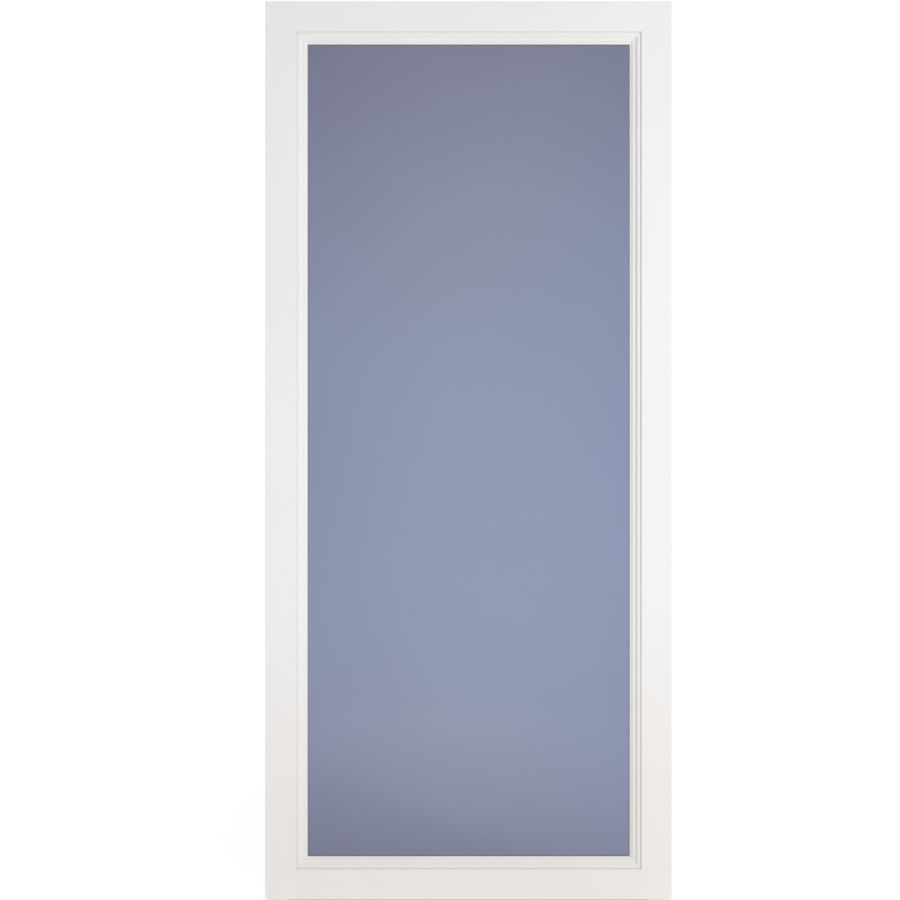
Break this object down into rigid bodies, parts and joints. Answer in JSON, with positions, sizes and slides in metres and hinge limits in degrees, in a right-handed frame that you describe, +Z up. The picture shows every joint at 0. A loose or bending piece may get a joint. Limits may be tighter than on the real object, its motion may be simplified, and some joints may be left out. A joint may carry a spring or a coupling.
{
  "type": "full-view aluminium storm door",
  "caption": "White mitred aluminium storm door leaf with a stepped insert around one tall blue-grey glass, hinged in a screw-on mounting frame and opening outwards.",
  "frame": {"origin": "back face of the hinge-side screw flange, at the opening's side and at sill level", "axes": "+X across the doorway from hinge side to latch side, +Y indoors, +Z up"},
  "size_m": [0.914, 0.0506, 2.032],
  "materials": {
    "white_paint": "white baked enamel on extruded aluminium, satin",
    "white_vinyl": "white vinyl extrusion",
    "glass": "blue-grey tempered safety glass",
    "gasket": "dark glazing gasket",
    "pile": "grey woven pile",
    "hinge_steel": "white painted steel plate",
    "pin_steel": "bright steel pin",
    "sweep_vinyl": "flexible vinyl sweep"
  },
  "bodies": {
    "mounting_frame": {"hinge_jamb_rail": "white_paint", "latch_jamb_rail": "white_paint", "head_jamb_rail": "white_paint", "hinge_weatherstrip": "pile", "latch_weatherstrip": "pile", "head_weatherstrip": "pile", "hinge_1_frame_plate": "hinge_steel", "hinge_2_frame_plate": "hinge_steel", "hinge_3_frame_plate": "hinge_steel", "hinge_4_frame_plate": "hinge_steel", "hinge_1_pin": "pin_steel", "hinge_2_pin": "pin_steel", "hinge_3_pin": "pin_steel", "hinge_4_pin": "pin_steel"},
    "door_leaf": {"hinge_stile": "white_paint", "latch_stile": "white_paint", "top_rail": "white_paint", "bottom_rail": "white_paint", "insert_hinge_side": "white_paint", "insert_latch_side": "white_paint", "insert_top": "white_paint", "insert_bottom": "white_paint", "retainer_hinge_side": "white_vinyl", "retainer_latch_side": "white_vinyl", "retainer_top": "white_vinyl", "retainer_bottom": "white_vinyl", "glass_pane": "glass", "glazing_gasket": "gasket", "bottom_expander": "white_paint", "door_sweep": "sweep_vinyl", "hinge_1_door_plate": "hinge_steel", "hinge_2_door_plate": "hinge_steel", "hinge_3_door_plate": "hinge_steel", "hinge_4_door_plate": "hinge_steel"}
  },
  "joints": [
    {"name": "leaf_swing", "type": "hinge", "parent": "mounting_frame", "child": "door_leaf", "pos_m": [-0.018, -0.016, 0], "axis": [0, 0, -1], "range_deg": [0, 110]}
  ]
}
